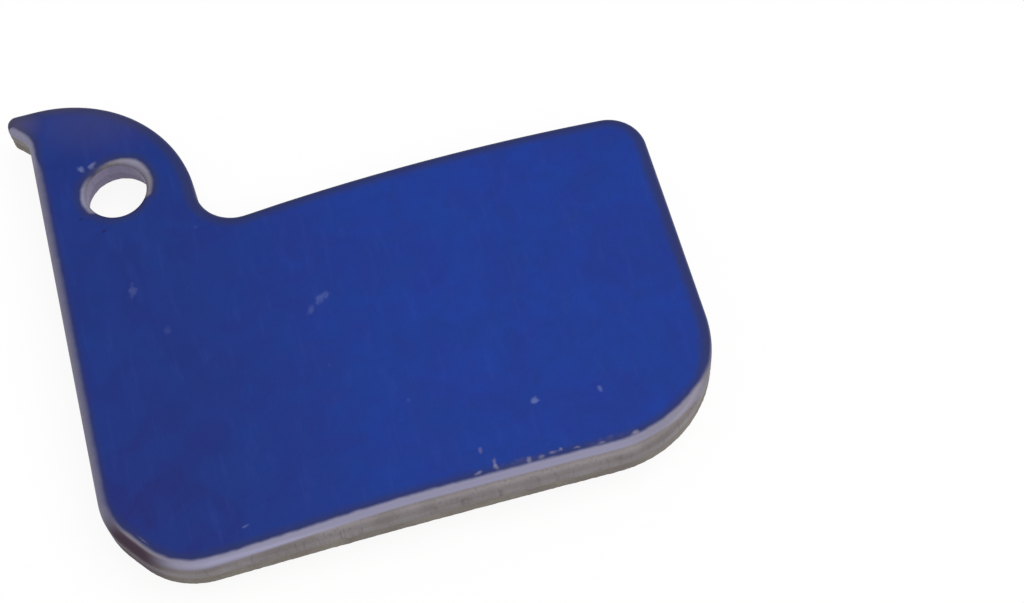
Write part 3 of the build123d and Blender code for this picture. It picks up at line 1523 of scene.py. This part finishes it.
    def build(self) -> bpy.types.Object:
        """Build the plate's mesh and let it stand for the solid.

        Returns:
            The piece.
        """
        skin = Skin()
        outer, inner = self.outer_edge(skin), self.hole_edge(skin)
        for rings, round_hole in ((outer, False), (inner, True)):
            for index, (upper, lower) in enumerate(zip(rings, rings[1:])):
                slot = PlateSlot.BACK if index < self.roll_rings - 1 else PlateSlot.WALL
                skin.band(upper, lower, slot.value, round_hole)
        for end, height, slot, spacing in (
            (0, self.top, PlateSlot.BACK, self.back_spacing),
            (-1, self.bottom, PlateSlot.FRONT, self.front_spacing),
        ):
            places = at_height(self.back.scattered(spacing, [self.hole]), height)
            skin.fill((outer[end], inner[end]), places, slot.value, face_up=slot is PlateSlot.BACK)
        piece = skin.made("plate_skin", self.sharp_angle)
        self.store_layers(piece)
        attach(piece, BODY)
        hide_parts(self.node)
        return piece

    def dress(self, piece: bpy.types.Object) -> None:
        """Give the plate its paint, its sheared wall and its plating, in the order of its slots.

        Args:
            piece: the plate's object.
        """
        wall = BlankedEdge(self.burnish_end, self.hole_middle)
        for finish in (BluePaint(), wall, CopperPlating()):
            piece.data.materials.append(finish.made())


@dataclass
class FrictionBlock:
    """Sintered block: an open, granular friction face, a crumbled edge and rough pressed sides.

    Attributes:
        node: name of the solid that the piece stands for.
        step: longest run between points round the outline.
        side_rings: rings down the side.
        face_spacing: distance between points on the friction face.
        bond_spacing: distance between points on the face that is bonded to the plate.
        sharp_angle: angle between two faces above which their edge stays sharp.
        pore_spacing: distance between the pores in the friction face.
        pore_depth: depth of the deepest pores.
        pore_radii: smallest radius of a pore and what chance adds to it at most, in spacings.
        pore_radius_least: radius in spacings below which no pore falls.
        pore_steepness: how fast a pore falls to its full depth.
        pore_scatter: scale at which the chance is read, so that each pore has its own.
        grain_depth: height of the grain on the friction face and the sides.
        face_grain: width of the grain on the friction face.
        side_grain: width of the grain on the sides.
        crumble: how far the edge of the friction face is crumbled away.
        crumble_width: width of the crumbled places.
        crumble_height: how far up the side they reach.
        edge_shares: how far down the broken edge its rings lie, as shares of it.
        edge_relief: relief of the broken edge against that of the friction face.
        wear_share: share of the broken edge that is rubbed as the friction face is.
    """

    node: str = "friction_block"
    step: float = 0.12
    side_rings: int = 15
    face_spacing: float = 0.17
    bond_spacing: float = 1.0
    sharp_angle: float = 60.0
    pore_spacing: float = 0.75
    pore_depth: float = 0.11
    pore_radii: Span = (0.12, 0.16)
    pore_radius_least: float = 0.05
    pore_steepness: float = 1.6
    pore_scatter: float = 7.0
    grain_depth: float = 0.035
    face_grain: float = 0.42
    side_grain: float = 0.35
    crumble: float = 0.09
    crumble_width: float = 0.8
    crumble_height: float = 0.5
    edge_shares: Span = (0.5, 1.0)
    edge_relief: float = 0.5
    wear_share: float = 0.6

    def __post_init__(self) -> None:
        """Read the block's heights and outlines off the frame."""
        low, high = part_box(self.node)
        self.face, self.top = low.z / MM, high.z / MM
        outline = Outline.round_flat_face(self.node, self.top)[0]
        front = Outline.round_flat_face(self.node, self.face)[0]
        self.edge_break = high.x / MM - front.points[:, 0].max()
        self.outline = outline.finer(self.step)

    def face_relief(self, places: np.ndarray) -> np.ndarray:
        """Find the depth of the grain and pores of the friction face.

        Args:
            places: places on the face, one to a row.

        Returns:
            The depth at each place.
        """
        smallest, added = self.pore_radii
        grains = self.grain_depth * uneven(places, self.face_grain)
        pores = np.empty(len(places))
        for index, place in enumerate(places):
            distances, points = noise.voronoi(Vector(place / self.pore_spacing))
            radius = smallest + added * noise.cell(points[0] * self.pore_scatter)
            pores[index] = max(0.0, 1 - distances[0] / max(radius, self.pore_radius_least))
        return grains + self.pore_depth * np.minimum(pores * self.pore_steepness, 1)

    def side_relief(self, outline: Outline, height: float) -> np.ndarray:
        """Find the depth of the rough side, which crumbles towards the friction face.

        Args:
            outline: outline of the side.
            height: height on the side.

        Returns:
            The depth at each point of the outline.
        """
        places = at_height(outline.points, height)
        depth = self.grain_depth * uneven(places, self.side_grain)
        crumbled = np.clip(roughness(places, self.crumble_width), 0, 1) * self.crumble
        return depth + crumbled * eased(np.array(height), self.face + self.crumble_height, self.face)

    def build(self) -> bpy.types.Object:
        """Build the block's mesh and let it stand for the solid.

        Returns:
            The piece.
        """
        skin = Skin()
        rings = []
        for height in np.linspace(self.top, self.face + self.edge_break, self.side_rings):
            depth = self.side_relief(self.outline, height)
            rings.append(skin.ring(self.outline.moved_out(-depth), height))
        for share in self.edge_shares:
            height = self.face + self.edge_break * (1 - share) ** 2
            depth = self.side_relief(self.outline, height) + self.edge_break * share
            shape = self.outline.moved_out(-depth)
            relief = self.face_relief(at_height(shape.points, height))
            rings.append(skin.ring(shape, height + share * self.edge_relief * relief))
        for upper, lower in zip(rings, rings[1:]):
            skin.band(upper, lower, 0)
        rubbed = self.outline.moved_out(-self.edge_break - self.crumble)
        grains = at_height(rubbed.scattered(self.face_spacing), self.face)
        grains[:, 2] += self.face_relief(grains)
        skin.fill((rings[-1],), grains, 0, face_up=False)
        bond = at_height(self.outline.scattered(self.bond_spacing), self.top)
        skin.fill((rings[0],), bond, 0, face_up=True)
        piece = skin.made("block_skin", self.sharp_angle)
        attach(piece, BODY)
        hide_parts(self.node)
        return piece

    def dress(self, piece: bpy.types.Object) -> None:
        """Give the block its sintered metal."""
        finish = SinteredMetal(self.face + self.wear_share * self.edge_break)
        piece.data.materials.append(finish.made())


# Floor, light and camera


@dataclass(frozen=True)
class View:
    """Where the camera stands and how it looks, with the image's own size.

    Attributes:
        aim: point on the painted back that the middle of the image shows.
        distance: from that point to the camera.
        elevation: angle above the floor.
        heading: angle of the view from +Y towards +X.
        roll: turn of the camera about its view, clockwise as it looks.
        focal_length: in pixels of the image.
        image_width: in pixels.
    """

    aim: tuple[float, float, float] = (6.35, 0.36, 3.8)
    distance: float = 107.6
    elevation: float = 62.0
    heading: float = 9.2
    roll: float = 6.5
    focal_length: float = 2200.0
    image_width: float = 1024.0

    def matrix(self) -> Matrix:
        """Place and turn of the camera.

        Returns:
            The camera's matrix in the frame, in metres.
        """
        heading, elevation = math.radians(self.heading), math.radians(self.elevation)
        level = Vector((math.sin(heading), math.cos(heading), 0))
        forward = level * math.cos(elevation) - Vector((0, 0, math.sin(elevation)))
        turn = forward.to_track_quat("-Z", "Y").to_matrix().to_4x4()
        turn = turn @ Matrix.Rotation(math.radians(-self.roll), 4, "Z")
        place = (Vector(self.aim) - forward * self.distance) * MM
        return Matrix.Translation(place) @ turn


@dataclass
class Studio:
    """Pale floor, soft light from the front right and a white surround.

    Attributes:
        view: the camera's view.
        floor_size: width of the floor.
        floor_gap: how far below the friction face the floor lies.
        floor_opening: how far inside the block's outline the floor is open, so that light from
            below reaches the friction face and it can be looked at from there.
        floor_tone: share of the light that the floor throws back.
        floor_glow: share of plain white in the floor where it is looked at, which leaves faint shadows.
        key_strength: light of the soft lamp on a surface that faces it.
        key_softness: angle that the soft lamp spans.
        key_from: direction that the soft lamp shines from.
        dome_strength: light that comes evenly from all round.
        dome_seen: how bright the surround looks to the camera.
    """

    view: View
    floor_size: float = 3000.0
    floor_gap: float = 0.01
    floor_opening: float = 0.3
    floor_tone: float = 0.9
    floor_glow: float = 0.9
    key_strength: float = 2.3
    key_softness: float = 60.0
    key_from: tuple[float, float, float] = (0.30, -0.30, 0.90)
    dome_strength: float = 0.45
    dome_seen: float = 1.0

    def build(self, footprint: Outline, level: float) -> None:
        """Set up the floor, the lights and the camera.

        Args:
            footprint: outline of the block that the pad rests on.
            level: height of its friction face.
        """
        self.lay_floor(footprint, level - self.floor_gap)
        self.light()
        self.set_camera()
        bpy.context.scene.view_settings.view_transform = "Standard"

    def lay_floor(self, footprint: Outline, level: float) -> None:
        """Lay the floor as one band, from inside the footprint to far outside it.

        Args:
            footprint: outline of the block that the pad rests on.
            level: height of the floor.
        """
        inner = footprint.moved_out(-self.floor_opening).points
        outer = inner * (self.floor_size / np.ptp(inner[:, 0]))
        count = len(inner)
        faces = [(k, (k + 1) % count, count + (k + 1) % count, count + k) for k in range(count)]
        mesh = bpy.data.meshes.new("floor")
        mesh.from_pydata(at_height(np.concatenate([outer, inner]), level) * MM, [], faces)
        floor = bpy.data.objects.new("floor", mesh)
        bpy.context.scene.collection.objects.link(floor)
        mesh.materials.append(self.floor_material())

    def floor_material(self) -> bpy.types.Material:
        """Make the floor's material: white where it is looked at, and clear from below.

        Returns:
            The material.
        """
        material = bpy.data.materials.new("pale_floor")
        material.use_nodes = True
        nodes = Nodes(material.node_tree)
        nodes.tree.nodes.remove(nodes.tree.nodes["Principled BSDF"])
        matte = nodes.add("BsdfDiffuse")
        matte.inputs["Color"].default_value = (self.floor_tone, self.floor_tone, self.floor_tone, 1.0)
        white = nodes.add("Emission")
        looked_at = nodes.maths("MULTIPLY", self.seen(nodes), self.floor_glow)
        lit = nodes.add("MixShader")
        nodes.feed(lit.inputs, (looked_at, matte.outputs[0], white.outputs[0]))
        below = nodes.add("NewGeometry").outputs["Backfacing"]
        clear = nodes.add("BsdfTransparent")
        both = nodes.add("MixShader")
        nodes.feed(both.inputs, (below, lit.outputs[0], clear.outputs[0]))
        nodes.give(nodes.tree.nodes["Material Output"].inputs["Surface"], both.outputs[0])
        return material

    @staticmethod
    def seen(nodes: Nodes) -> Socket:
        """Tell rays that look from those that light.

        Args:
            nodes: the material's nodes.

        Returns:
            1 for rays from the camera and from glossy or clear surfaces, and 0 for light on matte ones.
        """
        path = nodes.add("LightPath").outputs
        mirrored = nodes.maths("MAXIMUM", path["Is Glossy Ray"], path["Is Transmission Ray"])
        return nodes.maths("MAXIMUM", path["Is Camera Ray"], mirrored)

    def light(self) -> None:
        """Hang the soft lamp and the even dome."""
        lamp = bpy.data.lights.new("soft_lamp", "SUN")
        lamp.energy, lamp.angle = self.key_strength, math.radians(self.key_softness)
        key = bpy.data.objects.new("soft_lamp", lamp)
        key.rotation_euler = Vector(self.key_from).to_track_quat("Z", "Y").to_euler()
        bpy.context.scene.collection.objects.link(key)
        world = bpy.data.worlds.new("surround")
        world.use_nodes = True
        nodes = Nodes(world.node_tree)
        background = nodes.tree.nodes["Background"]
        background.inputs["Color"].default_value = (1.0, 1.0, 1.0, 1.0)
        camera_only = nodes.add("LightPath").outputs["Is Camera Ray"]
        strength = nodes.between(camera_only, self.dome_strength, self.dome_seen)
        nodes.give(background.inputs["Strength"], strength)
        bpy.context.scene.world = world

    def set_camera(self) -> None:
        """Put the camera where the view says."""
        data = bpy.data.cameras.new("camera")
        data.lens = data.sensor_width * self.view.focal_length / self.view.image_width
        data.clip_start = MM
        camera = bpy.data.objects.new("camera", data)
        camera.matrix_world = self.view.matrix()
        bpy.context.scene.collection.objects.link(camera)
        bpy.context.scene.camera = camera


def main() -> None:
    """Build the pad's pieces and the studio round them."""
    logging.basicConfig(level=logging.INFO, format="%(name)s: %(message)s")
    plate, block = BackingPlate(), FrictionBlock()
    for part in (plate, block):
        piece = part.build()
        part.dress(piece)
        log.info("%s stands for %s with %d faces", piece.name, part.node, len(piece.data.polygons))
    Studio(View()).build(block.outline, block.face)


if __name__ == "__main__":
    main()
